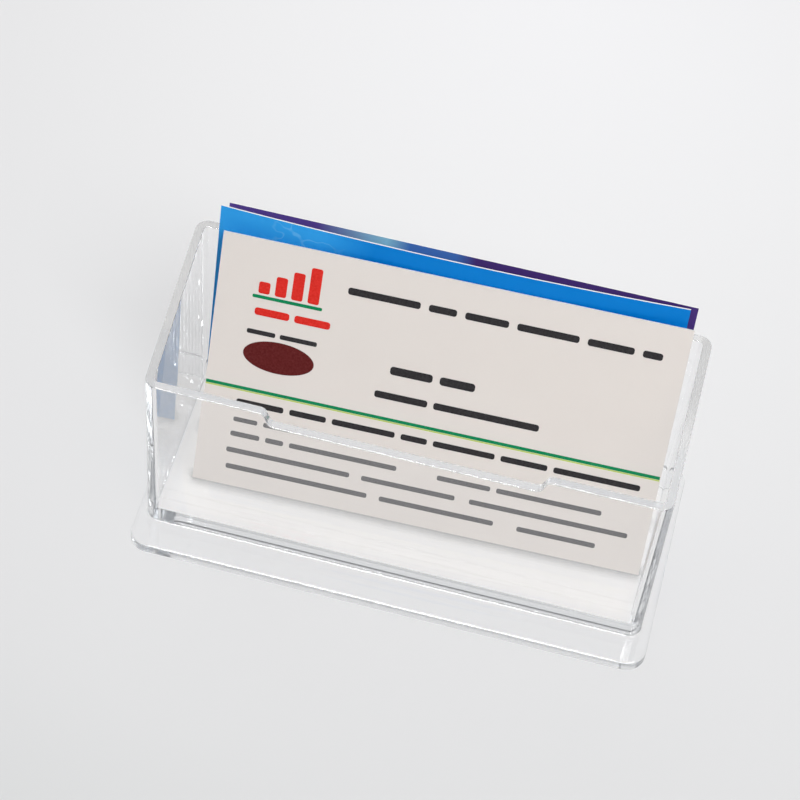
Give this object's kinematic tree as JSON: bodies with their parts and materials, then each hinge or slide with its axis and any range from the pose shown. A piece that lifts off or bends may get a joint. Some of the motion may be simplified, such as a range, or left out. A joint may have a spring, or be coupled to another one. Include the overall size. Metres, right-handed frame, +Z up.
{
  "type": "business card holder stand",
  "caption": "Clear moulded desk stand with an open box-shaped pocket, a recess in its low front rim and a flat base, holding loose business cards that lift out.",
  "frame": {"origin": "middle of the base plate's flat underside", "axes": "+X to the right as seen from the front, +Y from the low front wall to the tall back wall, +Z up from the desk"},
  "size_m": [0.1036, 0.0494, 0.0578],
  "materials": {
    "clear_plastic": "clear and polished",
    "beige_card": "uncoated",
    "blue_card": "glossy",
    "purple_card": "glossy"
  },
  "bodies": {
    "holder": {"holder": "clear_plastic"},
    "front_card": {"front_card": "beige_card"},
    "middle_card": {"middle_card": "blue_card"},
    "back_card": {"back_card": "purple_card"}
  },
  "joints": [
    {"name": "front_card_lift", "type": "slide", "parent": "holder", "child": "front_card", "axis": [-0.0021, 0.2427, 0.9701], "range_m": [0, 0.05]},
    {"name": "middle_card_lift", "type": "slide", "parent": "holder", "child": "middle_card", "axis": [-0.0021, 0.2427, 0.9701], "range_m": [0, 0.05]},
    {"name": "back_card_lift", "type": "slide", "parent": "holder", "child": "back_card", "axis": [-0.0021, 0.2427, 0.9701], "range_m": [0, 0.05]}
  ]
}
